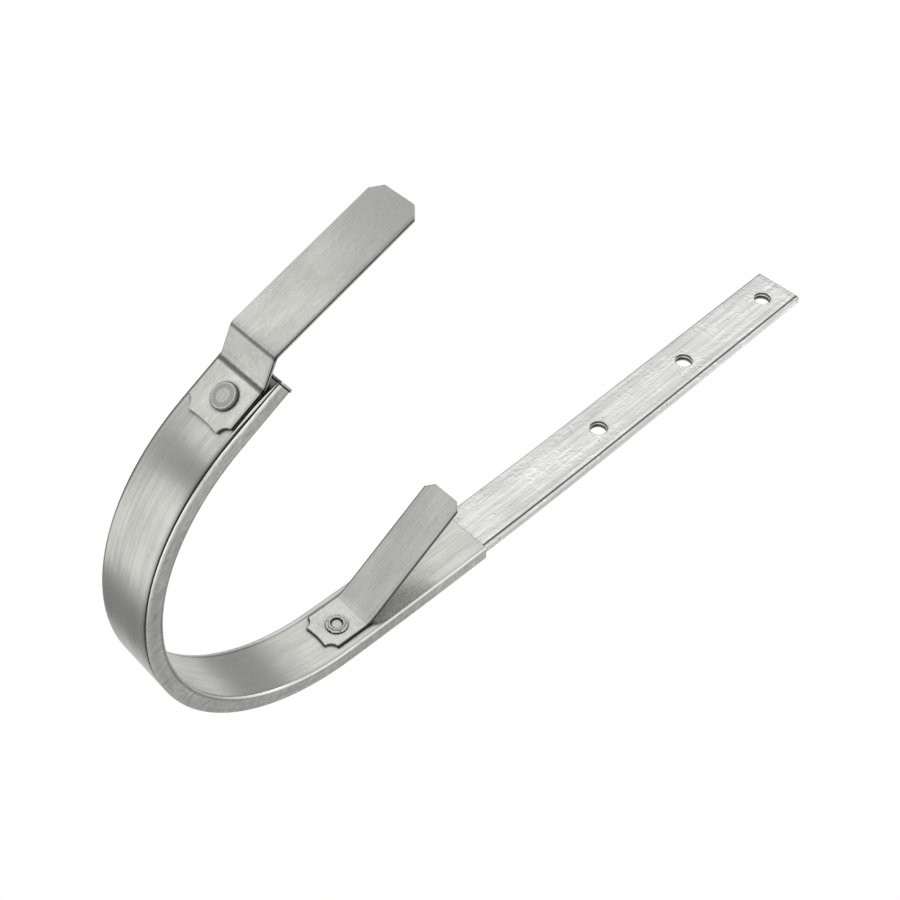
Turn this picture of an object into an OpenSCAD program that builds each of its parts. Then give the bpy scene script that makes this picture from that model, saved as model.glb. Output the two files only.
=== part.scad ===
// Gutter bracket for half-round gutters: a flat steel bar bent to a hook, its hook part
// jacketed in folded sheet zinc, with a tongue spring riveted on at each end of the hook.
// X runs along the gutter, +Y is the wall side and +Z points up the shank. The origin is
// the centre of the middle nail hole on the bar's back face.

/* [Flat bar] */
// Width of the flat bar
bar_w = 25; // [22:1:40]
// Thickness of the flat bar
bar_t = 5; // [4:0.5:8]
// Radius of the bar's four long edges
bar_edge_r = 1.5; // [0.5:0.1:1.8]

/* [Shank] */
// Distance from one nail hole to the next
hole_pitch = 60; // [40:1:80]
// Diameter of each nail hole
hole_d = 8; // [5:0.5:10]
// Width of the bevel round each nail hole
hole_rim = 0.5; // [0.2:0.1:1]
// Bar left above the top nail hole
end_margin = 13; // [10:1:30]
// Straight bar left below the lowest nail hole
straight_below = 6; // [6:1:30]
// Length of the gently bowed run from there to the hook
bow_len = 155; // [120:1:200]
// Angle through which that run is bowed
bow_angle = 5.1; // [1:0.1:10]

/* [Hook] */
// Outer diameter of the gutter
gutter_d = 153; // [127:1:192]
// Play between the gutter and the hook, on the radius
gutter_play = 1; // [0.5:0.1:3]
// Angle of the round part of the hook
hook_angle = 148.2; // [120:0.1:170]
// Length of the straight tip of the hook
tip_len = 24; // [22:1:40]

/* [Zinc jacket] */
// Thickness of the zinc sheet
sheet_t = 0.7; // [0.5:0.05:1]
// Play between the sheet and the faces of the bar
face_play = 0.1; // [0.05:0.05:0.3]
// Play between the sheet and the sides of the bar
side_play = 0.25; // [0.15:0.05:0.6]
// Length of shank that the jacket covers above the hook
sleeve_len = 76; // [50:1:110]
// Outer radius of the jacket's corners on the side without the seam
plain_corner_r = 2.3; // [1.6:0.1:2.5]
// Outer radius of the fold between the inner face and the seam side
fold_r = 1; // [0.8:0.1:1.5]
// Width of the open seam
seam_gap = 0.4; // [0.2:0.05:0.8]
// Gap between the end flap and the walls that it closes
flap_gap = 0.5; // [0.3:0.1:1]

/* [Spring feet] */
// Distance from the foot's cut end to its rivet
rivet_inset = 10.1; // [8:0.1:13]
// Radius of the scoop cut from each corner of a foot
scoop_r = 3.8; // [2:0.1:4.5]
// Depth of the hollow in the foot's cut end
end_hollow = 0.5; // [0.2:0.1:1]
// Play between a foot and the jacket
seat_play = 0.1; // [0.05:0.05:0.2]

/* [Front spring] */
// Width of the front spring
front_w = 22; // [18:0.5:23]
// Thickness of each of its two layers
layer_t = 0.5; // [0.4:0.05:0.7]
// Gap between the two layers
layer_gap = 0.12; // [0.1:0.02:0.2]
// Amount by which the outer layer is narrower on its open side
layer_step = 0.4; // [0.2:0.1:0.8]
// Distance from the tip of the hook back to the front rivet
front_rivet_back = 14.7; // [12:0.1:17]
// Length of the flat foot
front_foot_len = 17.7; // [16:0.1:21]
// Angle at which the spring steps out from the hook
joggle_angle = 33.4; // [20:0.1:45]
// Length of the sloping step
joggle_len = 9; // [6:0.1:13]
// Angle at which the tongue leans back over the hook
lean_back = 8.5; // [2:0.1:15]
// Length of the front tongue
front_tongue_len = 63.9; // [45:0.1:80]
// Size of the corner cuts at the end of the front tongue
front_chamfer = 4.2; // [2:0.1:6]
// Inner radius of the bend at the foot of that step
step_bend_r = 5; // [2:0.1:6]
// Inner radius of the bend where the front tongue leans back
front_bend_r = 1.8; // [1:0.1:4]

/* [Rear spring] */
// Width of the rear spring
rear_w = 19; // [16:0.5:23]
// Thickness of the rear spring
rear_t = 1; // [0.8:0.1:1.2]
// Distance from the start of the round hook up to the rear rivet
rear_rivet_up = 4; // [2:0.1:6]
// Length of foot above the start of the round hook
rear_foot_up = 11.1; // [9:0.1:16]
// Angle at which the tongue lifts off the shank
lift_angle = 34.7; // [20:0.1:45]
// Inner radius of the rear spring's bend
rear_bend_r = 10; // [4:0.5:14]
// Length of the rear tongue
rear_tongue_len = 56.5; // [40:0.1:64]
// Size of the corner cuts at the end of the rear tongue
rear_chamfer = 3.3; // [2:0.1:6]

/* [Rivets] */
// Diameter of the rivet shank
rivet_d = 5; // [4:0.1:6]
// Play between the rivet shank and its holes, on the radius
rivet_play = 0.1; // [0.05:0.05:0.2]
// Distance of both rivets from the middle of the bar, towards the seam
rivet_shift = 1; // [0:0.1:1.5]
// Diameter of the factory head
head_d = 9.5; // [8:0.1:11]
// Thickness of the factory head
head_t = 1.2; // [0.8:0.1:2]
// Diameter of the flared end
flare_d = 9.4; // [8:0.1:10.5]
// Thickness of the flared end
flare_t = 0.8; // [0.6:0.1:1.6]
// Outer diameter of the rolled rim round the bore
rim_d = 7; // [6.6:0.1:7.4]
// Height of that rim above the flared end
rim_h = 0.4; // [0.2:0.1:1]
// Diameter of the bore in the flared end
rivet_bore_d = 5; // [3:0.1:5.4]
// Depth of that bore below the rim
rivet_bore_depth = 0.9; // [0.5:0.1:3]

/* [Hidden] */
$fn = 64;

cut = 1;                                          // how far cutting tools overrun
lap = 0.03;                                       // how far a strip's leg runs into the next
inset = 0.01;                                     // how much smaller a lapped leg is all round
$inset = 0;
hook_r = gutter_d / 2 + gutter_play;              // radius of the jacket's inner face
jacket_w = bar_w + 2 * (side_play + sheet_t);
jacket_t = bar_t + 2 * (face_play + sheet_t);
bar_in = sheet_t + face_play;                     // jacket's inner face to the bar
bar_back = bar_in + bar_t;                        // jacket's inner face to the bar's back
top_z = hole_pitch + end_margin;
bow_z = -hole_pitch - straight_below;
bow_r = bow_len * 180 / (PI * bow_angle);                 // radius of the bow's inner face
sleeve_turn = turn_of(sleeve_len, bow_r);         // share of the bow inside the jacket
flap_run = sheet_t + flap_gap;                    // from the cut walls to the flap's face
front_t = 2 * layer_t + layer_gap;
fold_edge_r = 0.9 * layer_t;                      // rounds both sides of the doubled edge
foot_below = rivet_inset - rear_rivet_up;         // rear foot below the start of the hook
foot_turn = turn_of(foot_below, hook_r);          // share of the hook under the rear foot

// Legs of a strip are [length, 0] where it is straight and [radius of the face v = 0, turn
// in degrees] where it is bent. A strip runs towards -Z. Its section is drawn in x and v,
// and v becomes +Y. A turn above 0 bends the strip towards -v, a turn below 0 towards +v.
// Every second leg is a hair smaller and runs into its neighbours, so that they all fuse.
bare_leg = [top_z - bow_z, 0];
bow_leg = [bow_r, bow_angle];
bow_above_sleeve = [bow_r, bow_angle - sleeve_turn];
sleeve_leg = [bow_r, sleeve_turn];
hook_leg = [hook_r, hook_angle];

function turn_of(length, radius) = length / radius * 180 / PI;

// Moves its children to the far end of a run of legs
module after(legs, i = 0) {
    if (i < len(legs)) {
        size = legs[i][0];
        turn = legs[i][1];
        side = turn > 0 ? -1 : 1;
        if (turn == 0)
            translate([0, 0, -size]) after(legs, i + 1) children();
        else
            translate([0, side * size, 0]) rotate([-turn, 0, 0])
                translate([0, -side * size, 0]) after(legs, i + 1) children();
    } else {
        children();
    }
}

// Sweeps the section along one leg, and past both of its ends by over
module sweep(leg, over) {
    size = leg[0];
    turn = leg[1];
    if (turn == 0)
        translate([0, 0, -size - over]) linear_extrude(size + 2 * over) children();
    else if (turn > 0)
        translate([0, -size, 0]) rotate([turn_of(over, size), 0, 0]) rotate([-90, 0, 90])
            rotate_extrude(angle = turn + 2 * turn_of(over, size), $fn = max(120, ceil(3600 / turn)))
                translate([size, 0]) rotate(-90) children();
    else
        mirror([0, 1, 0]) sweep([size, -turn], over) mirror([0, 1]) children();
}

// Sweeps the section along a run of legs
module strip(legs, i = 0) {
    if (i < len(legs)) {
        after([for (k = [0 : 1 : i - 1]) legs[k]]) {
            $inset = i % 2 == 1 ? inset : 0;
            sweep(legs[i], i % 2 == 1 ? lap : 0) children();
        }
        strip(legs, i + 1) children();
    }
}

// Extrudes a side view, drawn as distance along the strip and v, over a width in x
module across(x0, x1) {
    rotate([0, 90, 0]) translate([0, 0, x0]) linear_extrude(x1 - x0) children();
}

// A round hole through everything near the face v = 0
module hole(d) {
    rotate([-90, 0, 0]) cylinder(d = d, h = 4 * jacket_t, center = true);
}

// Rectangle with its own radius at each corner: [x0 v0, x1 v0, x1 v1, x0 v1]. All its
// sides move in by e, which is the lapped leg's inset, or less than 0 for a hollow.
module plate(x0, v0, x1, v1, radii, e) {
    corners = [[x0 + e, v0 + e, 0, 0], [x1 - e, v0 + e, 1, 0],
               [x1 - e, v1 - e, 1, 1], [x0 + e, v1 - e, 0, 1]];
    difference() {
        translate([x0 + e, v0 + e]) square([x1 - x0 - 2 * e, v1 - v0 - 2 * e]);
        for (i = [0 : 3]) if (radii[i] > 0)
            translate([corners[i][0], corners[i][1]])
                mirror([corners[i][2], 0]) mirror([0, corners[i][3]]) corner_cut(radii[i] - e);
    }
}

// What a round corner of radius r leaves out, with the corner at the origin
module corner_cut(r) {
    difference() {
        translate([-cut, -cut]) square(r + cut);
        translate([r, r]) circle(r);
    }
}

// The start of the bow, on the jacket's inner face
module at_bow() {
    translate([0, -bar_back, bow_z]) children();
}

module at_hook() {
    at_bow() after([bow_above_sleeve, sleeve_leg]) children();
}

module at_tip() {
    at_hook() after([hook_leg]) children();
}

module at_front_rivet() {
    at_tip() after([[tip_len - front_rivet_back, 0]]) translate([rivet_shift, 0, 0]) children();
}

// The rear rivet stands square to the rear foot, which is straight above the hook's start
module at_rear_rivet() {
    at_hook() translate([rivet_shift, 0, rear_rivet_up]) children();
}

module bar_section() {
    plate(-bar_w / 2, bar_in, bar_w / 2, bar_back, [for (i = [0 : 3]) bar_edge_r], $inset);
}

module steel_bar() {
    bar_tip = [tip_len - flap_run - face_play, 0];
    color("gainsboro") difference() {
        translate([0, -bar_back, top_z])
            strip([bare_leg, bow_leg, hook_leg, bar_tip]) bar_section();
        for (z = [-hole_pitch, 0, hole_pitch]) translate([0, 0, z]) nail_hole();
        at_front_rivet() hole(rivet_d + 2 * rivet_play);
        at_rear_rivet() hole(rivet_d + 2 * rivet_play);
    }
}

// A nail hole with a bevel at both faces of the bar
module nail_hole() {
    hole(hole_d);
    for (y = [0, -bar_t]) translate([0, y, 0]) rotate([y < 0 ? 90 : -90, 0, 0])
        translate([0, 0, -hole_rim])
            cylinder(d1 = hole_d, d2 = hole_d + 4 * hole_rim, h = 2 * hole_rim);
}

// Folded sheet round the bar, open along the corner of the outer face and the +X side
module jacket_section() {
    inner_r = plain_corner_r - sheet_t;
    half = jacket_w / 2;
    difference() {
        plate(-half, 0, half, jacket_t, [plain_corner_r, fold_r, 0, plain_corner_r], $inset);
        plate(-half + sheet_t, sheet_t, half - sheet_t, jacket_t - sheet_t,
              [inner_r, fold_r - sheet_t, 0, inner_r], -$inset);
        translate([half - sheet_t - seam_gap - $inset, jacket_t - sheet_t - cut])
            square([seam_gap + 2 * $inset, 3 * cut]);
    }
}

// The inner face runs on past the other walls and turns up as a flap over the bar's end
module end_flap() {
    across(-jacket_w / 2 + plain_corner_r, jacket_w / 2) difference() {
        plate(0, 0, flap_run, jacket_t, [0, fold_r, 0, 0], 0);
        plate(-cut, sheet_t, flap_gap, jacket_t + cut, [0, fold_r - sheet_t, 0, 0], 0);
    }
}

module zinc_jacket() {
    legs = [sleeve_leg, hook_leg, [tip_len - flap_run, 0]];
    color("darkgray") difference() {
        union() {
            at_bow() after([bow_above_sleeve]) {
                strip(legs) jacket_section();
                after(legs) end_flap();
            }
        }
        at_front_rivet() hole(rivet_d + 2 * rivet_play);
        at_rear_rivet() hole(rivet_d + 2 * rivet_play);
    }
}

// What the scoops, the hollow end and the rivet hole take out of a foot of width w. The
// foot starts at its cut end, at the origin.
module foot_cuts(w) {
    chord = w - 2 * scoop_r;
    hollow_r = (chord * chord / 4 + end_hollow * end_hollow) / (2 * end_hollow);
    for (side = [-1, 1]) translate([side * w / 2, 0, 0]) hole(2 * scoop_r);
    translate([0, 0, hollow_r - end_hollow]) hole(2 * hollow_r);
    translate([rivet_shift, 0, -rivet_inset]) hole(rivet_d + 2 * rivet_play);
}

// Corner cut at the end of a tongue, with the tip of the tongue at the origin
module tongue_corner(w, size, side) {
    translate([side * w / 2, 0, 0]) rotate([90, 0, 0])
        linear_extrude(4 * jacket_t, center = true)
            polygon([[side * cut, size + cut], [side * cut, -cut], [-side * (size + cut), -cut]]);
}

// Sheet folded double along its -X edge and open along +X
module folded_section() {
    e = $inset;
    difference() {
        plate(-front_w / 2, 0, front_w / 2, front_t, [fold_edge_r, 0, 0, fold_edge_r], e);
        translate([-front_w / 2 + layer_t - e, layer_t - e]) square([front_w, layer_gap + 2 * e]);
        translate([front_w / 2 - layer_step - e, layer_t]) square([2 * cut, front_t]);
    }
}

module front_spring() {
    foot = [front_foot_len, 0];
    step_out = [step_bend_r + front_t, -joggle_angle];
    joggle = [joggle_len, 0];
    step_back = [front_bend_r, joggle_angle + lean_back];
    tongue = [front_tongue_len, 0];
    legs = [foot, step_out, joggle, step_back, tongue];
    color("silver") at_tip()
        translate([0, jacket_t + seat_play, -(tip_len - front_rivet_back) + rivet_inset])
            difference() {
                strip(legs) folded_section();
                foot_cuts(front_w);
                after(legs) {
                    for (side = [-1, 1]) tongue_corner(front_w, front_chamfer, side);
                    round_outer_corner();
                }
            }
}

// The outer layer's corner on the open side is rounded off behind the inner layer's cut
module round_outer_corner() {
    r = front_chamfer + layer_step;
    translate([front_w / 2 - layer_step, layer_t + layer_gap / 2 + jacket_t, 0])
        rotate([90, 0, 0]) linear_extrude(jacket_t) difference() {
            translate([-r, -cut]) square([r + cut, r + cut]);
            translate([-r, r]) circle(r);
        }
}

module rear_spring() {
    foot_low = [hook_r - seat_play, -foot_turn];
    foot_high = [rear_foot_up, 0];
    lift = [rear_bend_r + rear_t, -lift_angle];
    tongue = [rear_tongue_len, 0];
    legs = [foot_low, foot_high, lift, tongue];
    color("silver") at_hook() after([[hook_r, foot_turn]]) rotate([180, 0, 0])
        translate([0, seat_play, 0]) difference() {
            strip(legs) plate(-rear_w / 2, 0, rear_w / 2, rear_t, [0, 0, 0, 0], $inset);
            foot_cuts(rear_w);
            after(legs) for (side = [-1, 1]) tongue_corner(rear_w, rear_chamfer, side);
        }
}

// A rivet along v with its head above and its flared, bored end below, the flare split at
// five places. Its grip runs from v = 0 to v = grip.
module rivet(grip) {
    flare_r = flare_d / 2;
    bore_r = rivet_bore_d / 2;
    head_r = head_d / 2;
    rim_r = rim_d / 2;
    rim_top = -flare_t - rim_h;
    bore_end = rim_top + rivet_bore_depth;
    edge = head_t / 4;
    rotate([-90, 0, 0]) difference() {
        rotate_extrude() polygon([
            [0, bore_end], [bore_r, bore_end], [bore_r, rim_top + rim_h / 2],
            [bore_r + rim_h / 2, rim_top], [rim_r - rim_h / 2, rim_top], [rim_r, -flare_t],
            [flare_r - edge, -flare_t], [flare_r, -flare_t / 2], [flare_r - edge, 0],
            [rivet_d / 2, 0], [rivet_d / 2, grip], [head_r, grip],
            [head_r, grip + head_t - edge], [head_r - edge, grip + head_t], [0, grip + head_t]]);
        for (a = [20, 95, 150, 235, 310]) rotate(a)
            translate([flare_r - 3 * edge, -edge / 2, -2 * flare_t])
                cube([cut + 3 * edge, edge, 2 * flare_t]);
    }
}

module front_rivet() {
    color("lightgray") at_front_rivet() rivet(jacket_t + seat_play + front_t);
}

module rear_rivet() {
    seat = seat_play + rear_t;
    color("lightgray") at_rear_rivet() translate([0, -seat, 0]) rivet(jacket_t + seat);
}

steel_bar();
zinc_jacket();
front_spring();
rear_spring();
front_rivet();
rear_rivet();
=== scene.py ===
"""Gutter bracket: galvanised flat bar bent to a hook, jacketed in folded sheet zinc, with two
riveted tongue springs. Metres; +Y is the wall side, +Z up along the shank."""

import math

import bpy
from mathutils import Euler, Matrix, Vector


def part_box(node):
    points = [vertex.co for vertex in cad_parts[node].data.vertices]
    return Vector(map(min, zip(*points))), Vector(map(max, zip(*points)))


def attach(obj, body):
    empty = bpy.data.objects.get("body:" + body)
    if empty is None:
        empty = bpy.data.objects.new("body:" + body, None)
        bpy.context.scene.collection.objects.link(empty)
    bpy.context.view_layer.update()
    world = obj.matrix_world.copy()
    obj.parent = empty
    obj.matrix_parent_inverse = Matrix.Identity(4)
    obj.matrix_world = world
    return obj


MM = 0.001

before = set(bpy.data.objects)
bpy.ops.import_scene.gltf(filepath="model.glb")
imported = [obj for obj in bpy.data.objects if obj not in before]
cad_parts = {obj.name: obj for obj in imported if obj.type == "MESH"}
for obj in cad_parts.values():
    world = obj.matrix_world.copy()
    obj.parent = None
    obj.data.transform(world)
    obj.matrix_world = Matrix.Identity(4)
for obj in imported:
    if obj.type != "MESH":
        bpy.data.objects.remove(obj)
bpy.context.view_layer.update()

# The bar's front face, and the jacket's inner face over it, where the shank is straight
BAR_FRONT, JACKET_FRONT = -5 * MM, -5.8 * MM
BAR_DEPTH, JACKET_DEPTH = 5 * MM, 6.6 * MM
JACKET_HALF = (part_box("zinc_jacket")[1][0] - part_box("zinc_jacket")[0][0]) / 2
# Below this height the bar bows towards the gutter, before the hook turns
BOW_TOP = -66 * MM
BOW_LENGTH, BOW_ANGLE = 155 * MM, math.radians(5.1)
BOW_RADIUS = BOW_LENGTH / BOW_ANGLE
# The hook's round part, on the jacket's inner face: its radius, the angles from +Y at which it
# starts and ends, its centre in Y and Z, and its length in mm
HOOK_RADIUS = 77.5 * MM
HOOK_START, HOOK_END = BOW_ANGLE, BOW_ANGLE + math.radians(148.2)
HOOK_Y = JACKET_FRONT - BOW_RADIUS * (1 - math.cos(BOW_ANGLE)) - HOOK_RADIUS * math.cos(BOW_ANGLE)
HOOK_Z = BOW_TOP - (BOW_RADIUS - HOOK_RADIUS) * math.sin(BOW_ANGLE)
HOOK_LENGTH = HOOK_RADIUS * (HOOK_END - HOOK_START) / MM
# Nail holes: their radius, their pitch along the bar both ways from the frame's origin, and a
# height below the lowest one
HOLE_RADIUS, HOLE_PITCH, HOLES_END = 4 * MM, 60 * MM, -75 * MM


def hook_spot(x, run, depth):
    """A place on the jacket, from mm: across it, along it from the start of the round part, and
    out from its inner face. Before the round part and past it, it runs on straight."""
    angle = min(max(HOOK_START + run * MM / HOOK_RADIUS, HOOK_START), HOOK_END)
    rest = run * MM - (angle - HOOK_START) * HOOK_RADIUS
    out = Vector((0, math.cos(angle), -math.sin(angle)))
    onward = Vector((0, -math.sin(angle), -math.cos(angle)))
    return Vector((x * MM, HOOK_Y, HOOK_Z)) + out * (HOOK_RADIUS + depth * MM) + onward * rest


# Both rivets sit a millimetre to the seam side, one past the hook's round part and one before
# it. Each turn about X takes +Z to the rivet's visible end, and +Y along the spring's foot.
FRONT_RIVET = hook_spot(1.0, HOOK_LENGTH + 9.3, 0)
REAR_RIVET = hook_spot(1.0, -4.0, 0)
FRONT_TURN = math.radians(270) - HOOK_END
REAR_TURN = math.radians(90) - HOOK_START
# The front spring steps away from the hook 7.8 mm past its rivet: that place in mm along its foot
front_foot = Vector((0, math.cos(FRONT_TURN), math.sin(FRONT_TURN)))
STEP = FRONT_RIVET.dot(front_foot) / MM + 7.8
# Directions up the front tongue and down the rear one, as turns of +Y about X
FRONT_TONGUE, REAR_TONGUE = math.radians(100), math.radians(-60)


# Materials

PLACE, MAPPING, SEPARATE = "ShaderNodeTexCoord", "ShaderNodeMapping", "ShaderNodeSeparateXYZ"
MATH, VECTOR_MATH, RANGE = "ShaderNodeMath", "ShaderNodeVectorMath", "ShaderNodeMapRange"
MIX, NOISE, OCCLUSION = "ShaderNodeMix", "ShaderNodeTexNoise", "ShaderNodeAmbientOcclusion"


def linear(hex_colour):
    """sRGB hex to a linear colour"""
    parts = [int(hex_colour[i : i + 2], 16) / 255 for i in (1, 3, 5)]
    return [p / 12.92 if p <= 0.04045 else ((p + 0.055) / 1.055) ** 2.4 for p in parts] + [1.0]


def add(tree, kind, inputs=None, **settings):
    """Adds a node with its settings, and its inputs as values or as sockets to link"""
    node = tree.nodes.new(kind)
    for name, value in settings.items():
        setattr(node, name, value)
    for name, value in (inputs or {}).items():
        socket = node.inputs[name]
        if isinstance(value, bpy.types.NodeSocket):
            tree.links.new(value, socket)
        else:
            socket.default_value = value
    return node


def new_material(name):
    material = bpy.data.materials.new(name)
    material.use_nodes = True
    material.node_tree.nodes.clear()
    return material, material.node_tree


def sum_of(tree, *weighted):
    """Weighted sum of (socket, weight) pairs"""
    total = 0.0
    for socket, weight in weighted:
        inputs = {0: socket, 1: weight, 2: total}
        total = add(tree, MATH, inputs, operation="MULTIPLY_ADD").outputs[0]
    return total


def product_of(tree, first, *others):
    for other in others:
        first = add(tree, MATH, {0: first, 1: other}, operation="MULTIPLY").outputs[0]
    return first


def tone_over(tree, socket, *stops):
    """A tone read from (millimetres, tone) stops along a length"""
    first, last = stops[0][0], stops[-1][0]
    along = add(tree, RANGE, {0: socket, 1: first * MM, 2: last * MM}).outputs[0]
    ramp = add(tree, "ShaderNodeValToRGB", {0: along})
    marks = ramp.color_ramp.elements
    for mark, (_, tone) in zip(marks, (stops[0], stops[-1])):
        mark.color = (tone, tone, tone, 1)
    for mm, tone in stops[1:-1]:
        marks.new((mm - first) / (last - first)).color = (tone, tone, tone, 1)
    return ramp.outputs[0]


def at_edge(tree, width):
    """1 on a cut edge and along it, falling to 0 at width from it"""
    inputs = {"Distance": width}
    open_inside = add(tree, OCCLUSION, inputs, samples=6, inside=True, only_local=True)
    return add(tree, RANGE, {0: open_inside.outputs["AO"], 1: 0.9, 2: 0.45}).outputs[0]


def painted_crevice_shade(tree, reach, least):
    """Painted shade: 1 on an open face, down to least where surfaces within reach close it in"""
    openness = add(tree, OCCLUSION, {"Distance": reach}, samples=8)
    inputs = {0: openness.outputs["AO"], 1: 0.35, 2: 0.95, 3: least}
    return add(tree, RANGE, inputs).outputs[0]


def specks(tree, place, spacing, size):
    """1 inside small scattered spots"""
    cells = add(tree, "ShaderNodeTexVoronoi", {"Vector": place, "Scale": 1 / spacing})
    share = size / spacing
    return add(tree, RANGE, {0: cells.outputs["Distance"], 1: share, 2: 0.5 * share}).outputs[0]


def painted_relief_shading(tree, place, size, slant, depth):
    """Painted light and shade about 1, as low relief lit from one side would show it: the
    difference of one noise at two spots"""
    tones = []
    for shift in ((0, 0, 0), slant):
        inputs = {0: place, 1: [size * part for part in shift]}
        moved = add(tree, VECTOR_MATH, inputs, operation="ADD").outputs[0]
        inputs = {"Vector": moved, "Scale": 1 / size, "Detail": 2.0, "Distortion": 1.2}
        tones.append(add(tree, NOISE, inputs).outputs[0])
    relief = add(tree, MATH, {0: tones[1], 1: tones[0]}, operation="SUBTRACT").outputs[0]
    inputs = {0: relief, 1: depth, 2: 1.0}
    return add(tree, MATH, inputs, operation="MULTIPLY_ADD").outputs[0]


def behind_bow(tree, axes):
    """Y, with the bar's bow taken out of it"""
    drop = add(tree, MATH, {0: BOW_TOP, 1: axes[2]}, operation="SUBTRACT").outputs[0]
    drop = add(tree, MATH, {0: drop, 1: 0.0}, operation="MAXIMUM").outputs[0]
    inputs = {0: product_of(tree, drop, drop), 1: 0.5 / BOW_RADIUS, 2: axes[1]}
    return add(tree, MATH, inputs, operation="MULTIPLY_ADD").outputs[0]


def hook_place(tree, place):
    """Coordinates that follow the jacket: x across, distance along it from the height of the
    hook's centre, and depth outwards from its inner face, which is round below the centre and
    follows the bar's bow above it"""
    mean_radius = 80 * MM
    axes = add(tree, SEPARATE, {0: place}).outputs
    dy = add(tree, MATH, {0: axes[1], 1: HOOK_Y}, operation="SUBTRACT").outputs[0]
    dz = add(tree, MATH, {0: axes[2], 1: HOOK_Z}, operation="SUBTRACT").outputs[0]
    below = add(tree, MATH, {0: dz, 1: 0.0}, operation="MINIMUM").outputs[0]
    above = add(tree, MATH, {0: dz, 1: 0.0}, operation="MAXIMUM").outputs[0]
    turn = add(tree, MATH, {0: below, 1: dy}, operation="ARCTAN2").outputs[0]
    inputs = {0: turn, 1: mean_radius, 2: above}
    along = add(tree, MATH, inputs, operation="MULTIPLY_ADD").outputs[0]

    # The tip runs on straight past the round part, so how far past a spot lies is left out of
    # its distance from the centre
    past = sum_of(tree, (dy, -math.sin(HOOK_END)), (dz, -math.cos(HOOK_END)))
    past = add(tree, MATH, {0: past, 1: 0.0}, operation="MAXIMUM").outputs[0]
    gutter_side = add(tree, MATH, {0: dy, 1: 0.0}, operation="LESS_THAN").outputs[0]
    past = product_of(tree, past, gutter_side)
    squares = [product_of(tree, length, length) for length in (dy, below, past)]
    square = sum_of(tree, *zip(squares, (1.0, 1.0, -1.0)))
    from_centre = add(tree, MATH, {0: square}, operation="SQRT").outputs[0]
    inputs = {0: from_centre, 1: HOOK_RADIUS}
    round_depth = add(tree, MATH, inputs, operation="SUBTRACT").outputs[0]
    inputs = {0: behind_bow(tree, axes), 1: JACKET_FRONT}
    bow_depth = add(tree, MATH, inputs, operation="SUBTRACT").outputs[0]
    up = add(tree, MATH, {0: dz, 1: 0.0}, operation="GREATER_THAN").outputs[0]
    depth = add(tree, MIX, {0: up, 2: round_depth, 3: bow_depth}).outputs[0]
    return add(tree, "ShaderNodeCombineXYZ", {0: axes[0], 1: along, 2: depth}).outputs[0]


# Width and length in mm, detail and roughness of the fine lines, wider streaks and clouds that
# rolling and handling leave in sheet. They are drawn about twice as coarse as in real sheet, so
# that they show, and so is its grain.
ROLLED = (1.0, 34, 1.0, 0.5), (2.6, 70, 3.0, 0.55), (9, 18, 2.0, 0.5)
ROLLED_GRAIN = 1.6 * MM


def rolled_finish(tree, place, weights, light, dark, share_range, roughness):
    """Rolled sheet with its lines along the second axis of place. Gives its colour, from dark to
    light as the weighted patterns cross share_range, its roughness, which is less where it is
    lighter, the height of its relief, and how far its lines blur what is pressed across them."""
    patterns = []
    for width, length, detail, rough in ROLLED:
        inputs = {0: place, "Scale": (1 / (width * MM), 1 / (length * MM), 1 / (width * MM))}
        stretched = add(tree, MAPPING, inputs).outputs[0]
        inputs = {"Vector": stretched, "Scale": 1.0, "Detail": detail, "Roughness": rough}
        patterns.append(add(tree, NOISE, inputs).outputs[0])
    fine, wide, cloud = patterns
    inputs = {"Vector": place, "Scale": 1 / ROLLED_GRAIN, "Detail": 2.0, "Roughness": 0.6}
    grain = add(tree, NOISE, {**inputs, "Distortion": 0.8}).outputs[0]
    mixed = sum_of(tree, *zip((fine, wide, cloud, grain), weights))
    share = add(tree, RANGE, {0: mixed, 1: share_range[0], 2: share_range[1]}).outputs[0]
    inputs = {0: share, 6: linear(dark), 7: linear(light)}
    colour = add(tree, MIX, inputs, data_type="RGBA").outputs[2]
    inputs = {0: mixed, 1: 0.4, 2: 0.85, 3: roughness + 0.06, 4: roughness - 0.04}
    rough = add(tree, RANGE, inputs).outputs[0]
    height = sum_of(tree, (fine, 0.6), (cloud, 5.0))
    blur = sum_of(tree, (fine, 0.6 * MM), (wide, 0.5 * MM))
    return colour, rough, height, blur


def finish_metal(tree, colour, shade, roughness, height, relief, edge_radius):
    """Metallic surface from a colour, a shade that darkens it, a roughness, and a height that
    counts in steps of relief, with its edges rounded to edge_radius"""
    grey = add(tree, "ShaderNodeCombineColor", {0: shade, 1: shade, 2: shade}).outputs[0]
    inputs = {0: 1.0, 6: colour, 7: grey}
    tone = add(tree, MIX, inputs, data_type="RGBA", blend_type="MULTIPLY").outputs[2]
    rounded = add(tree, "ShaderNodeBevel", {"Radius": edge_radius}, samples=4).outputs[0]
    inputs = {"Height": height, "Distance": relief, "Strength": 1.0, "Normal": rounded}
    normal = add(tree, "ShaderNodeBump", inputs).outputs[0]
    inputs = {"Base Color": tone, "Metallic": 1.0, "Roughness": roughness, "Normal": normal}
    surface = add(tree, "ShaderNodeBsdfPrincipled", inputs).outputs[0]
    add(tree, "ShaderNodeOutputMaterial", {"Surface": surface})


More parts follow.
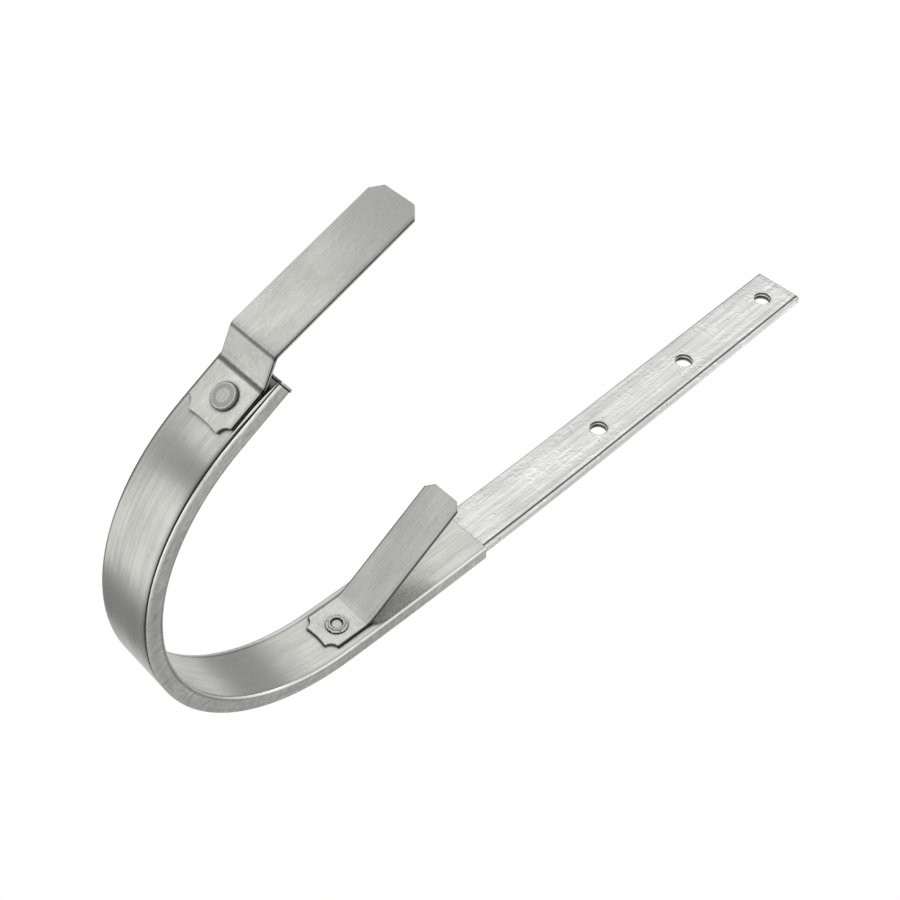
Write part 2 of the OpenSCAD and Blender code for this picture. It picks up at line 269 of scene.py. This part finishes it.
def rolled_sheet(
    name, colours, tongue, edge_shade, edge_width, edge_lines_painted_shade=(), foot_turn=0, painted_foot_tones=()
):
    """Sheet zinc as rolled and folded, grey with a soft shine: clouds and lines a few percent
    apart along a tongue's direction, with painted shade on the cut edges, in crevices and on low
    scuff marks lit from one side. The tones across it are painted shade along its edges. Each list
    of tones along the foot is painted shade, and painted highlight where it passes 1, with None or
    the distance from the middle, in mm, past which it marks only the cut sides."""
    material, tree = new_material(name)
    place = add(tree, PLACE).outputs["Object"]
    lengthwise = add(tree, MAPPING, {0: place, "Rotation": (-tongue, 0, 0)}).outputs[0]
    weights = (0.35, 0.3, 0.5, 0.1)
    finish = rolled_finish(tree, lengthwise, weights, *colours, (0.45, 0.8), 0.26)
    colour, rough, height, blur = finish
    # Painted shade on and beside the cut edges
    painted_edge_shade = add(tree, MIX, {0: at_edge(tree, edge_width), 2: 1.0, 3: edge_shade}).outputs[0]
    spots = specks(tree, place, 6 * MM, 0.35 * MM)
    spot_tone = add(tree, MIX, {0: spots, 2: 1.0, 3: 0.8}).outputs[0]
    # Scuff marks as low relief, painted as shade lit from one side, and below, painted shade in
    # crevices
    scuff_relief_painted_shade = painted_relief_shading(tree, place, 2.4 * MM, (0.12, 0.1, 0.12), 0.3)
    shade = product_of(tree, painted_edge_shade, painted_crevice_shade(tree, 1.3 * MM, 0.1), spot_tone, scuff_relief_painted_shade)
    across = add(tree, SEPARATE, {0: place}).outputs[0]
    # Painted shade across the sheet, darkest along its edges
    if edge_lines_painted_shade:
        shade = product_of(tree, shade, tone_over(tree, across, *edge_lines_painted_shade))
    # Painted shade, and painted highlight above 1, along the foot
    for stops, sides_from in painted_foot_tones:
        foot = add(tree, MAPPING, {0: place, "Rotation": (-foot_turn, 0, 0)}).outputs[0]
        along_foot = add(tree, SEPARATE, {0: foot}).outputs[1]
        tone = tone_over(tree, sum_of(tree, (along_foot, 1.0), (blur, 1.0)), *stops)
        if sides_from:
            from_middle = add(tree, MATH, {0: across}, operation="ABSOLUTE").outputs[0]
            inputs = {0: from_middle, 1: (sides_from - 0.04) * MM, 2: sides_from * MM}
            on_side = add(tree, RANGE, inputs).outputs[0]
            tone = add(tree, MIX, {0: on_side, 2: 1.0, 3: tone}).outputs[0]
        shade = product_of(tree, shade, tone)
    finish_metal(tree, colour, shade, rough, height, 0.012 * MM, 0.25 * MM)
    return material


def seamed_sheet(name, colours):
    """The jacket's sheet zinc, rolled and folded, grey with a soft shine: lines round the hook,
    painted shade along a pressed crease beside each long fold and in and beside the open seam,
    and painted highlights on the crest of the near fold and the top of the side wall"""
    material, tree = new_material(name)
    place = add(tree, PLACE).outputs["Object"]
    on_jacket = hook_place(tree, place)
    weights = (0.45, 0.15, 0.5, 0.2)
    colour, rough, height, _ = rolled_finish(tree, on_jacket, weights, *colours, (0.5, 0.84), 0.24)

    # Distances from the seam's side and the other, and whether a spot is on the outer or inner
    # face of the hook
    across, along, depth = add(tree, SEPARATE, {0: on_jacket}).outputs
    inputs = {0: JACKET_HALF, 1: across}
    from_seam = add(tree, MATH, inputs, operation="SUBTRACT").outputs[0]
    from_back = add(tree, MATH, inputs, operation="ADD").outputs[0]
    inputs = {0: depth, 1: JACKET_DEPTH - 0.8 * MM, 2: JACKET_DEPTH - 0.4 * MM}
    outside = add(tree, RANGE, inputs).outputs[0]
    inside = add(tree, RANGE, {0: depth, 1: 0.9 * MM, 2: 0.5 * MM}).outputs[0]

    # Painted shade in and beside the open seam by the side wall, and along the creases of the
    # folds
    seam_painted_shade = tone_over(
        tree, from_seam,
        (0, 1.0), (0.62, 1.0), (0.74, 0.06), (1.3, 0.12), (1.7, 0.6), (2.4, 0.88), (3.4, 1.0),
        (4, 1.0),
    )
    far_fold_painted_shade = tone_over(tree, from_back, (0, 0.3), (1.1, 0.35), (1.8, 0.6), (2.3, 1.0), (3, 1.0))
    near_crease_painted_shade = tone_over(
        tree, from_seam, (0, 1.0), (0.6, 1.0), (0.9, 0.78), (1.2, 0.7), (1.5, 0.95), (3, 1.0)
    )
    far_crease_painted_shade = tone_over(
        tree, from_back,
        (0, 0.5), (0.8, 0.8), (1.6, 1.0), (2.4, 1.0), (2.7, 0.6), (3.1, 0.66), (3.6, 1.0), (5, 1.0),
    )
    inputs = {0: outside, 2: 1.0, 3: product_of(tree, seam_painted_shade, far_fold_painted_shade)}
    fold_painted_shade = add(tree, MIX, inputs).outputs[0]
    inputs = {0: inside, 2: fold_painted_shade, 3: product_of(tree, near_crease_painted_shade, far_crease_painted_shade)}
    fold_painted_shade = add(tree, MIX, inputs).outputs[0]

    # Painted highlight: the crest of the near fold, and the top of the side wall near the tip,
    # are mixed towards white
    at_fold = add(tree, MATH, {0: from_seam, 1: depth}, operation="ADD").outputs[0]
    at_wall = add(tree, MATH, {0: from_seam, 1: depth}, operation="SUBTRACT").outputs[0]
    fold_painted_highlight = product_of(
        tree,
        tone_over(tree, at_fold, (0, 0.7), (0.6, 0.7), (0.7, 0.0), (2, 0.0)),
        tone_over(tree, along, (-230, 0.1), (-90, 0.1), (-50, 0.8), (80, 0.8)),
    )
    wall_painted_highlight = product_of(
        tree,
        tone_over(tree, at_wall, (-6.7, 0.9), (-6.0, 0.8), (-5.3, 0.0), (-4, 0.0)),
        tone_over(tree, along, (-215, 1.0), (-170, 1.0), (-148, 0.2), (-100, 0.0), (0, 0.0)),
    )
    crest = add(tree, MATH, {0: fold_painted_highlight, 1: wall_painted_highlight}, operation="MAXIMUM").outputs[0]
    inputs = {0: crest, 6: colour, 7: linear("#FFFFFD")}
    colour = add(tree, MIX, inputs, data_type="RGBA").outputs[2]

    # Painted shade on the same fold round the bottom of the hook
    bottom_fold_painted_shade = tone_over(tree, at_fold, (0, 0.68), (1.1, 0.66), (1.5, 1.0), (3, 1.0))
    at_bottom = tone_over(tree, along, (-230, 1.0), (-80, 1.0), (-45, 0.0), (80, 0.0))
    bottom_fold_painted_shade = add(tree, MIX, {0: at_bottom, 2: 1.0, 3: bottom_fold_painted_shade}).outputs[0]

    # Hand marks on the side wall, painted as shade of low relief lit from one side, and painted
    # shade that is darker round the hook than at its two ends
    on_side = add(tree, RANGE, {0: from_seam, 1: 0.25 * MM, 2: 0.05 * MM}).outputs[0]
    marks = painted_relief_shading(tree, place, 5 * MM, (0.1, 0.15, 0.15), 0.7)
    marks = add(tree, MIX, {0: on_side, 2: 1.0, 3: marks}).outputs[0]
    side_painted_shade = tone_over(
        tree, along,
        (-215, 1.0), (-195, 0.97), (-175, 0.82), (-100, 0.84), (-60, 0.8), (-20, 0.86), (0, 0.78),
        (20, 0.88), (45, 0.97), (75, 1.0),
    )
    side_painted_shade = add(tree, MIX, {0: on_side, 2: 1.0, 3: side_painted_shade}).outputs[0]
    spots = specks(tree, place, 7 * MM, 0.4 * MM)
    spot_tone = add(tree, MIX, {0: spots, 2: 1.0, 3: 0.75}).outputs[0]
    # Painted shade in narrow gaps, and painted shadow where the springs stand over the sheet
    painted_gap_shade, painted_nook_shadow = painted_crevice_shade(tree, 1.6 * MM, 0.1), painted_crevice_shade(tree, 22 * MM, 0.62)
    shade = product_of(tree, fold_painted_shade, bottom_fold_painted_shade, marks, side_painted_shade, spot_tone, painted_gap_shade, painted_nook_shadow)
    finish_metal(tree, colour, shade, rough, height, 0.012 * MM, 0.3 * MM)
    return material


def dipped_zinc(name):
    """Hot-dip galvanised flat bar: bright zinc banded along the bar, wrinkled and pitted where
    it ran and froze, with painted shade in a groove along one rolled corner and down the walls
    of the holes, between lighter rings. Its wrinkling is drawn coarser than real, so that it
    shows, and also painted as shade lit from one side."""
    material, tree = new_material(name)
    place = add(tree, PLACE).outputs["Object"]
    inputs = {0: place, "Scale": (1 / (0.9 * MM), 1 / (0.9 * MM), 1 / (30 * MM))}
    drawn_out = add(tree, MAPPING, inputs).outputs[0]
    inputs = {"Vector": drawn_out, "Scale": 1.0, "Detail": 4.0, "Roughness": 0.6}
    streaks = add(tree, NOISE, inputs).outputs[0]
    inputs = {"Vector": place, "Scale": 1 / (12 * MM), "Detail": 2.0}
    patches = add(tree, NOISE, inputs).outputs[0]
    inputs = {"Vector": place, "Scale": 1 / (1.1 * MM), "Detail": 3.0, "Roughness": 0.7}
    fine = add(tree, NOISE, inputs).outputs[0]
    mixed = sum_of(tree, (streaks, 0.9), (patches, 0.3), (fine, 0.15))
    share = add(tree, RANGE, {0: mixed, 1: 0.47, 2: 0.85}).outputs[0]
    inputs = {0: share, 6: linear("#DADAD8"), 7: linear("#FAFAF8")}
    colour = add(tree, MIX, inputs, data_type="RGBA").outputs[2]
    rough = add(tree, RANGE, {0: mixed, 1: 0.45, 2: 0.85, 3: 0.45, 4: 0.3}).outputs[0]

    # Depth behind the bar's front face, which follows the bow, and girth: the distance from
    # the middle of a face, which runs on round the front corner over the side
    axes = add(tree, SEPARATE, {0: place}).outputs
    inputs = {0: behind_bow(tree, axes), 1: BAR_FRONT}
    depth = add(tree, MATH, inputs, operation="SUBTRACT").outputs[0]
    side = add(tree, MATH, {0: axes[0]}, operation="SIGN").outputs[0]
    inputs = {0: depth, 1: BAR_DEPTH - 0.15 * MM}
    before_back = add(tree, MATH, inputs, operation="LESS_THAN").outputs[0]
    round_corner = product_of(tree, depth, side, before_back)
    girth = add(tree, MATH, {0: round_corner, 1: axes[0]}, operation="ADD").outputs[0]
    # Tones across the bar: lighter and darker stripes along its faces, painted shade in a groove
    # along one rolled corner, and painted shade round the corners
    bands_and_painted_groove_shade = tone_over(
        tree, girth,
        (-18, 0.85), (-14, 0.95), (-12.3, 1.0), (-11.8, 0.5), (-11.3, 0.9), (-9, 0.9),
        (-6.2, 0.86), (-5, 1.0), (-2.5, 1.0), (-1, 0.93), (0.5, 0.99), (2.8, 0.94), (3.5, 0.94),
        (4.3, 1.0), (5.8, 1.0), (7.1, 0.86), (8.7, 0.82), (9.4, 1.0), (10.1, 1.0), (10.5, 0.7),
        (10.85, 0.03), (11.15, 0.03), (11.5, 0.7), (12.2, 0.95), (13.0, 0.9), (13.5, 0.72),
        (14, 1.0), (16, 0.98), (18, 0.85),
    )

    # Distance from the axis of the nearest nail hole, and painted shade in rings about it and down
    # its wall
    inputs = {0: axes[2], 1: HOLE_PITCH / 2, 2: -HOLE_PITCH / 2}
    nearest = add(tree, MATH, inputs, operation="WRAP").outputs[0]
    spot = add(tree, "ShaderNodeCombineXYZ", {0: axes[0], 1: nearest}).outputs[0]
    from_axis = add(tree, VECTOR_MATH, {0: spot}, operation="LENGTH").outputs["Value"]
    holed = add(tree, MATH, {0: axes[2], 1: HOLES_END}, operation="GREATER_THAN").outputs[0]
    inputs = {0: from_axis, 1: HOLE_RADIUS + 0.12 * MM}
    on_wall = add(tree, MATH, inputs, operation="LESS_THAN").outputs[0]
    on_wall = product_of(tree, on_wall, holed)
    hole_rim_painted_shade = tone_over(
        tree, from_axis, (4.0, 1.0), (4.3, 1.0), (4.7, 0.8), (5.1, 0.94), (6, 0.94)
    )
    hole_rim_painted_shade = add(tree, MIX, {0: holed, 2: 0.94, 3: hole_rim_painted_shade}).outputs[0]
    hole_wall_painted_shade = tone_over(
        tree, depth,
        (-0.1, 1.0), (0.2, 0.9), (0.45, 0.06), (1.5, 0.2), (1.8, 1.0), (2.2, 0.8), (2.5, 0.06),
        (3.9, 0.12), (4.2, 0.8), (4.5, 0.08), (5, 0.08),
    )
    rings = add(tree, MIX, {0: on_wall, 2: hole_rim_painted_shade, 3: hole_wall_painted_shade}).outputs[0]

    # Darker lines just below the sheared top end
    end_line = tone_over(
        tree, axes[2],
        (60, 1.0), (70.3, 1.0), (71.1, 0.7), (71.7, 0.95), (72.4, 0.95), (72.75, 0.45), (73, 0.4),
    )
    pits = specks(tree, place, 4.5 * MM, 0.45 * MM)
    pit_tone = add(tree, MIX, {0: pits, 2: 1.0, 3: 0.4}).outputs[0]
    wrinkled = add(tree, RANGE, {0: patches, 1: 0.42, 2: 0.6, 3: 0.25}).outputs[0]
    stretched = add(tree, MAPPING, {0: place, "Scale": (1.0, 1.0, 0.5)}).outputs[0]
    # Low relief where the zinc ran, also painted as shade lit from one side
    wrinkle_relief_and_painted_shade = painted_relief_shading(tree, stretched, 2.2 * MM, (0.14, 0, -0.12), 1.3)
    wrinkle_relief_and_painted_shade = add(tree, MIX, {0: wrinkled, 2: 1.0, 3: wrinkle_relief_and_painted_shade}).outputs[0]
    # Painted shade in crevices
    bar_crevice_shade = painted_crevice_shade(tree, 1.6 * MM, 0.1)
    shade = product_of(tree, bands_and_painted_groove_shade, rings, end_line, pit_tone, wrinkle_relief_and_painted_shade, bar_crevice_shade)
    height = sum_of(tree, (streaks, 0.5), (wrinkle_relief_and_painted_shade, 0.8), (pits, -0.5), (fine, 0.25))
    finish_metal(tree, colour, shade, rough, height, 0.05 * MM, 0.2 * MM)
    return material


def pressed_rivet(name, centre, turn, rings, ragged):
    """Zinc plated steel rivet, dull grey from forming, with painted shade in rings round its axis,
    uneven by up to half of ragged, and a middle left rough by the tool, painted as shade lit
    from one side"""
    material, tree = new_material(name)
    place = add(tree, PLACE).outputs["Object"]
    inputs = {0: place, "Location": centre, "Rotation": (turn, 0, 0)}
    place = add(tree, MAPPING, inputs, vector_type="TEXTURE").outputs[0]
    flat = add(tree, VECTOR_MATH, {0: place, 1: (1, 1, 0)}, operation="MULTIPLY").outputs[0]
    radius = add(tree, VECTOR_MATH, {0: flat}, operation="LENGTH").outputs["Value"]
    inputs = {"Vector": place, "Scale": 1 / (1.6 * MM), "Detail": 3.0}
    worn = add(tree, NOISE, inputs).outputs[0]
    worn = add(tree, MATH, {0: worn, 1: 0.5}, operation="SUBTRACT").outputs[0]
    # Painted shade in rings round the axis
    ring_painted_shade = tone_over(tree, sum_of(tree, (radius, 1.0), (worn, ragged)), *rings)
    middle = add(tree, RANGE, {0: radius, 1: 2.6 * MM, 2: 2.1 * MM, 3: 0.25}).outputs[0]
    # The rough middle, painted as shade lit from one side
    hammered_relief_and_painted_shade = painted_relief_shading(tree, place, 0.75 * MM, (0.2, 0.2, 0), 1.6)
    hammered_relief_and_painted_shade = add(tree, MIX, {0: middle, 2: 1.0, 3: hammered_relief_and_painted_shade}).outputs[0]
    inputs = {"Vector": place, "Scale": 1 / (2.5 * MM), "Detail": 4.0}
    cloud = add(tree, NOISE, inputs).outputs[0]
    inputs = {0: cloud, 6: linear("#D2D2CD"), 7: linear("#E6E6E1")}
    colour = add(tree, MIX, inputs, data_type="RGBA").outputs[2]
    shade = product_of(tree, ring_painted_shade, hammered_relief_and_painted_shade, painted_crevice_shade(tree, 1.2 * MM, 0.1))
    height = sum_of(tree, (hammered_relief_and_painted_shade, 1.0), (cloud, 0.6))
    finish_metal(tree, colour, shade, 0.34, height, 0.03 * MM, 0.2 * MM)
    return material


# Marks as (millimetres, tone) stops. Along the front spring's foot: painted shade over the
# bends of its step, and painted highlight on the foot and between the bends
step_painted_shade_and_highlight = (
    (STEP - 30, 1.05), (STEP, 1.04), (STEP + 0.6, 0.34), (STEP + 1.5, 0.3), (STEP + 2.3, 1.12),
    (STEP + 3.3, 1.12), (STEP + 3.6, 0.95), (STEP + 3.9, 1.12), (STEP + 10.3, 1.12),
    (STEP + 10.9, 0.42), (STEP + 11.3, 0.5), (STEP + 11.8, 0.75), (STEP + 13.2, 0.9),
    (STEP + 15, 1.0), (STEP + 30, 1.0),
)
# Along the cut sides of both springs: painted shade beside the feet
front_side_painted_shade = (
    (STEP - 20, 0.3), (STEP - 1, 0.3), (STEP + 2, 0.7), (STEP + 11, 1.0), (STEP + 20, 1.0),
)
rear_side_painted_shade = (-230, 0.8), (-208, 0.8), (-200, 0.8), (-150, 0.9)
# Across both springs: painted shade darkening towards the edges, where the front one's second
# layer shows beside the first, and along the cut edges
front_edge_painted_shade = (
    (-11, 0.6), (-10.75, 0.65), (-10.5, 1.0), (8.8, 1.0), (9.8, 0.9), (10.3, 0.7), (10.5, 0.6),
    (10.56, 1.0), (11, 1.0),
)
rear_edge_painted_shade = (
    (-9.5, 0.25), (-9.2, 0.3), (-8.9, 1.0), (8.6, 1.0), (8.9, 0.9), (9.2, 0.3), (9.5, 0.25),
)
# Outwards from the rivets' axes, painted shade: on the front one's head and down its side,
# and in the rear one's bore and round its rim and flare
head_painted_shade_rings = (
    (0, 0.74), (2.2, 0.74), (2.6, 0.52), (3.8, 0.52), (4.1, 0.85), (4.35, 0.6), (4.55, 0.15),
    (4.9, 0.5), (6, 0.5),
)
bore_painted_shade_rings = (
    (0, 0.85), (1.9, 0.85), (2.2, 0.12), (2.6, 0.2), (2.9, 0.85), (3.4, 0.7), (3.7, 0.3),
    (3.9, 0.9), (4.4, 0.8), (4.7, 0.1), (6, 0.3),
)

# Light and dark of each zinc. The lip's is lighter, a painted highlight along the curl.
JACKET_ZINC = "#DCDDD7", "#BFC0BA"
SPRING_ZINC = "#DADBD5", "#C2C3BD"
LIP_ZINC_PAINTED_LIGHTER = "#E6E7E1", "#D2D3CD"

finishes = {
    "steel_bar": dipped_zinc("hot-dip galvanised steel"),
    "zinc_jacket": seamed_sheet("folded sheet zinc", JACKET_ZINC),
    "front_spring": rolled_sheet(
        "rolled zinc sheet of the front spring",
        SPRING_ZINC,
        FRONT_TONGUE,
        edge_shade=0.7,
        edge_width=0.4 * MM,
        edge_lines_painted_shade=front_edge_painted_shade,
        foot_turn=FRONT_TURN,
        painted_foot_tones=((step_painted_shade_and_highlight, None), (front_side_painted_shade, 10.6)),
    ),
    "rear_spring": rolled_sheet(
        "rolled zinc sheet of the rear spring",
        SPRING_ZINC,
        REAR_TONGUE,
        edge_shade=0.3,
        edge_width=0.4 * MM,
        edge_lines_painted_shade=rear_edge_painted_shade,
        foot_turn=REAR_TURN,
        painted_foot_tones=((rear_side_painted_shade, 9.45),),
    ),
    "front_rivet": pressed_rivet(
        "zinc plated steel of the front rivet", FRONT_RIVET, FRONT_TURN, head_painted_shade_rings, 0.5 * MM
    ),
    "rear_rivet": pressed_rivet(
        "zinc plated steel of the rear rivet", REAR_RIVET, REAR_TURN, bore_painted_shade_rings, 1.6 * MM
    ),
}
for node, finish in finishes.items():
    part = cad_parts[node]
    if not part.material_slots:
        part.data.materials.append(finish)
    for slot in part.material_slots:
        slot.material = finish


# The lip that curls up beside the seam


def bead_tree():
    """Geometry nodes: a bead along a line of points, fattest past the middle and thin at both
    ends"""
    tree = bpy.data.node_groups.new("bead along a seam", "GeometryNodeTree")
    for name, kind in (("Geometry", "Geometry"), ("Radius", "Float"), ("Material", "Material")):
        tree.interface.new_socket(name, in_out="INPUT", socket_type="NodeSocket" + kind)
    tree.interface.new_socket("Geometry", in_out="OUTPUT", socket_type="NodeSocketGeometry")
    given = add(tree, "NodeGroupInput").outputs
    path = add(tree, "GeometryNodeMeshToCurve", {"Mesh": given["Geometry"]}).outputs[0]
    # Half a sine wave pushed towards the far end, and never quite nothing
    share = add(tree, "GeometryNodeSplineParameter").outputs["Factor"]
    swell = add(tree, MATH, {0: share, 1: 1.6}, operation="POWER").outputs[0]
    swell = add(tree, MATH, {0: swell, 1: math.pi}, operation="MULTIPLY").outputs[0]
    swell = add(tree, MATH, {0: swell}, operation="SINE").outputs[0]
    swell = add(tree, MATH, {0: swell, 1: 0.03}, operation="MAXIMUM").outputs[0]
    inputs = {"Resolution": 16, "Radius": given["Radius"]}
    ring = add(tree, "GeometryNodeCurvePrimitiveCircle", inputs).outputs[0]
    inputs = {"Curve": path, "Profile Curve": ring, "Scale": swell, "Fill Caps": True}
    bead = add(tree, "GeometryNodeCurveToMesh", inputs).outputs[0]
    solid = add(tree, "GeometryNodeRealizeInstances", {0: bead}).outputs[0]
    inputs = {"Geometry": solid, "Material": given["Material"]}
    solid = add(tree, "GeometryNodeSetMaterial", inputs).outputs[0]
    add(tree, "NodeGroupOutput", {0: solid})
    return tree


def seam_bead(name, points, radius, material):
    """A bead along points, as a plain mesh that rides with the bracket"""
    line = bpy.data.meshes.new(name + " line")
    line.from_pydata(points, [(i, i + 1) for i in range(len(points) - 1)], [])
    carrier = bpy.data.objects.new(name + " carrier", line)
    bpy.context.scene.collection.objects.link(carrier)
    modifier = carrier.modifiers.new("bead", "NODES")
    modifier.node_group = bead_tree()
    given = {"Radius": radius, "Material": material}
    for socket in modifier.node_group.interface.items_tree:
        if socket.name in given:
            modifier[socket.identifier] = given[socket.name]
    ready = carrier.evaluated_get(bpy.context.evaluated_depsgraph_get())
    mesh = bpy.data.meshes.new_from_object(ready)
    carrier.modifiers.clear()
    bpy.data.objects.remove(carrier)
    piece = bpy.data.objects.new(name, mesh)
    bpy.context.scene.collection.objects.link(piece)
    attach(piece, "root")


# The outer sheet curls up along 32 mm beside the seam near the hook's tip. It starts 11.45 mm to
# the seam side, and bends a millimetre further out to its thin end.
CURL_START, CURL_LENGTH = 192.3, 32
CURL_ACROSS, CURL_BEND, CURL_RADIUS = 11.45, 1.0, 0.58 * MM
curl = [
    hook_spot(
        CURL_ACROSS + CURL_BEND * (i / CURL_LENGTH) ** 3, CURL_START + i, JACKET_DEPTH / MM
    )
    for i in range(CURL_LENGTH + 1)
]
lip_zinc = rolled_sheet(
    "rolled zinc sheet of the curled lip", LIP_ZINC_PAINTED_LIGHTER, 0, edge_shade=1.0, edge_width=0.2 * MM
)
seam_bead("curled_lip", curl, CURL_RADIUS, lip_zinc)


# Stage: white floor and surroundings, a soft lamp, and grey cards that the metal mirrors

WHITE = (1, 1, 1, 1)
WORLD_LIGHT = 0.5
FLOOR_Z, FLOOR_SIZE, FLOOR_LIFT = -0.8, 12, 0.45


def panel(name, centre, towards, width, height):
    """A flat rectangle at centre that faces a point, with a UV map from 0 to 1"""
    normal = (Vector(towards) - Vector(centre)).normalized()
    turn = normal.to_track_quat("Z", "Y").to_matrix().to_4x4()
    place = Matrix.Translation(Vector(centre)) @ turn
    shares = (0, 0), (1, 0), (1, 1), (0, 1)
    corners = [place @ Vector(((u - 0.5) * width, (v - 0.5) * height, 0)) for u, v in shares]
    mesh = bpy.data.meshes.new(name)
    mesh.from_pydata(corners, [], [(0, 1, 2, 3)])
    for loop, uv in zip(mesh.uv_layers.new(name="spread").data, shares):
        loop.uv = uv
    item = bpy.data.objects.new(name, mesh)
    bpy.context.scene.collection.objects.link(item)
    return item


def seen_or_lit(tree, seen, lit, *rays):
    """The first shader for the named rays of Light Path, and the second for what lights the
    bracket"""
    path = add(tree, "ShaderNodeLightPath").outputs
    direct = 0.0
    for ray in rays:
        direct = add(tree, MATH, {0: direct, 1: path[ray]}, operation="MAXIMUM").outputs[0]
    return add(tree, "ShaderNodeMixShader", {0: direct, 1: lit, 2: seen}).outputs[0]


MIRRORED = "Is Glossy Ray", "Is Transmission Ray"

world = bpy.data.worlds.new("white studio")
bpy.context.scene.world = world
world.use_nodes = True
tree = world.node_tree
tree.nodes.clear()
seen, lit = (
    add(tree, "ShaderNodeBackground", {"Color": WHITE, "Strength": strength}).outputs[0]
    for strength in (1.0, WORLD_LIGHT)
)
around = seen_or_lit(tree, seen, lit, *MIRRORED, "Is Camera Ray")
add(tree, "ShaderNodeOutputWorld", {0: around})

# The floor is matt, and glows a little, so that it is white and keeps the bracket's shadow
floor = panel("floor", (0, 0, FLOOR_Z), (0, 0, 10), FLOOR_SIZE, FLOOR_SIZE)
paint, tree = new_material("white studio floor")
white, lift = (
    add(tree, "ShaderNodeEmission", {"Color": WHITE, "Strength": strength}).outputs[0]
    for strength in (1.0, FLOOR_LIFT)
)
matt = add(tree, "ShaderNodeBsdfDiffuse", {"Color": (0.8, 0.8, 0.8, 1)}).outputs[0]
lifted = add(tree, "ShaderNodeAddShader", {0: matt, 1: lift}).outputs[0]
add(tree, "ShaderNodeOutputMaterial", {0: seen_or_lit(tree, white, lifted, *MIRRORED)})
floor.data.materials.append(paint)


def card(name, point, azimuth, elevation, width, height, level, core, distance):
    """A grey card with soft edges, seen only in the metal. It lies at a distance in metres from
    a point of the bracket, in mm, at an azimuth, clockwise from +Y, and an elevation. Its width
    and height are the angles that it covers there, and core is the share of it that is fully
    its grey level."""
    a, e = math.radians(azimuth), math.radians(elevation)
    way = Vector((math.sin(a) * math.cos(e), math.cos(a) * math.cos(e), math.sin(e)))
    start = Vector(point) * MM
    wide, high = (2 * distance * math.tan(math.radians(angle) / 2) for angle in (width, height))
    item = panel(name, start + way * distance, start, wide, high)
    cloth, tree = new_material(name + " cloth")
    spot = add(tree, PLACE).outputs["UV"]
    spot = add(tree, VECTOR_MATH, {0: spot, 1: (0.5, 0.5, 0)}, operation="SUBTRACT").outputs[0]
    off = add(tree, VECTOR_MATH, {0: spot}, operation="LENGTH").outputs["Value"]
    inputs = {0: off, 1: 0.5 * core, 2: 0.5, 3: 1.0, 4: 0.0}
    cover = add(tree, RANGE, inputs, interpolation_type="SMOOTHSTEP").outputs[0]
    clear = add(tree, "ShaderNodeBsdfTransparent").outputs[0]
    inputs = {"Color": (level, level, level, 1), "Strength": 1.0}
    grey = add(tree, "ShaderNodeEmission", inputs).outputs[0]
    soft_edged = add(tree, "ShaderNodeMixShader", {0: cover, 1: clear, 2: grey}).outputs[0]
    add(tree, "ShaderNodeOutputMaterial", {0: soft_edged})
    item.data.materials.append(cloth)
    item.visible_camera = False
    item.visible_diffuse = False
    item.visible_shadow = False


# Point, azimuth and elevation, width and height, grey level, core and distance of each card,
# which darkens what one face of the bracket mirrors
card("card_under", (0, -108, -296), -41.5, -30, 62, 44, 0.28, 0.4, 0.45)
card("card_under_back", (0, -85, -298), -34, -10, 40, 34, 0.6, 0.3, 0.8)
card("card_wall", (0, -159, -250), -124.5, -40, 28, 22, 0.1, 0.5, 0.45)
card("card_above", (0, -26, -258), -97, 60, 60, 40, 0.3, 0.4, 1.0)
card("card_above_back", (0, -45, -276), -46, 40, 90, 60, 0.72, 0.6, 1.2)
card("card_seam", (13, -60, -250), 33, 16, 66, 66, 0.6, 0.6, 1.0)
card("card_left", (-13, -141, -280), -74, -4, 46, 50, 0.02, 0.6, 0.6)
card("card_rear_tongue", (0, -27, -182), -145, -28, 46, 50, 0.7, 0.5, 0.2)
card("card_front_tongue", (10, -213, -178), -143, 2, 26, 22, 0.25, 0.2, 0.4)

# A soft lamp above, aimed at the middle of the bracket
LAMP_PLACE, LAMP_AIM = Vector((-0.5, -0.2, 1.9)), Vector((0, -0.09, -0.15))
lamp_data = bpy.data.lights.new("top_lamp", "AREA")
lamp_data.shape = "SQUARE"
lamp_data.size = 1.6
lamp_data.energy = 14
lamp = bpy.data.objects.new("top_lamp", lamp_data)
lamp.location = LAMP_PLACE
lamp.rotation_euler = (LAMP_AIM - LAMP_PLACE).to_track_quat("-Z", "Y").to_euler()
bpy.context.scene.collection.objects.link(lamp)

# Camera: below the hook and to its seam side, looking up along the shank and tilted
CAMERA_PLACE = Vector((0.2596, -0.4818, -0.3839))
CAMERA_TURN = Euler([math.radians(turn) for turn in (130.668, -46.354, 2.15)])
camera_data = bpy.data.cameras.new("camera")
camera_data.lens = 55.19
camera_data.sensor_width = 36
camera_data.shift_y = -0.0611
camera_data.clip_start = 0.01
camera = bpy.data.objects.new("camera", camera_data)
bpy.context.scene.collection.objects.link(camera)
camera.matrix_world = Matrix.LocRotScale(CAMERA_PLACE, CAMERA_TURN, None)
bpy.context.scene.camera = camera

bpy.context.scene.view_settings.view_transform = "Standard"
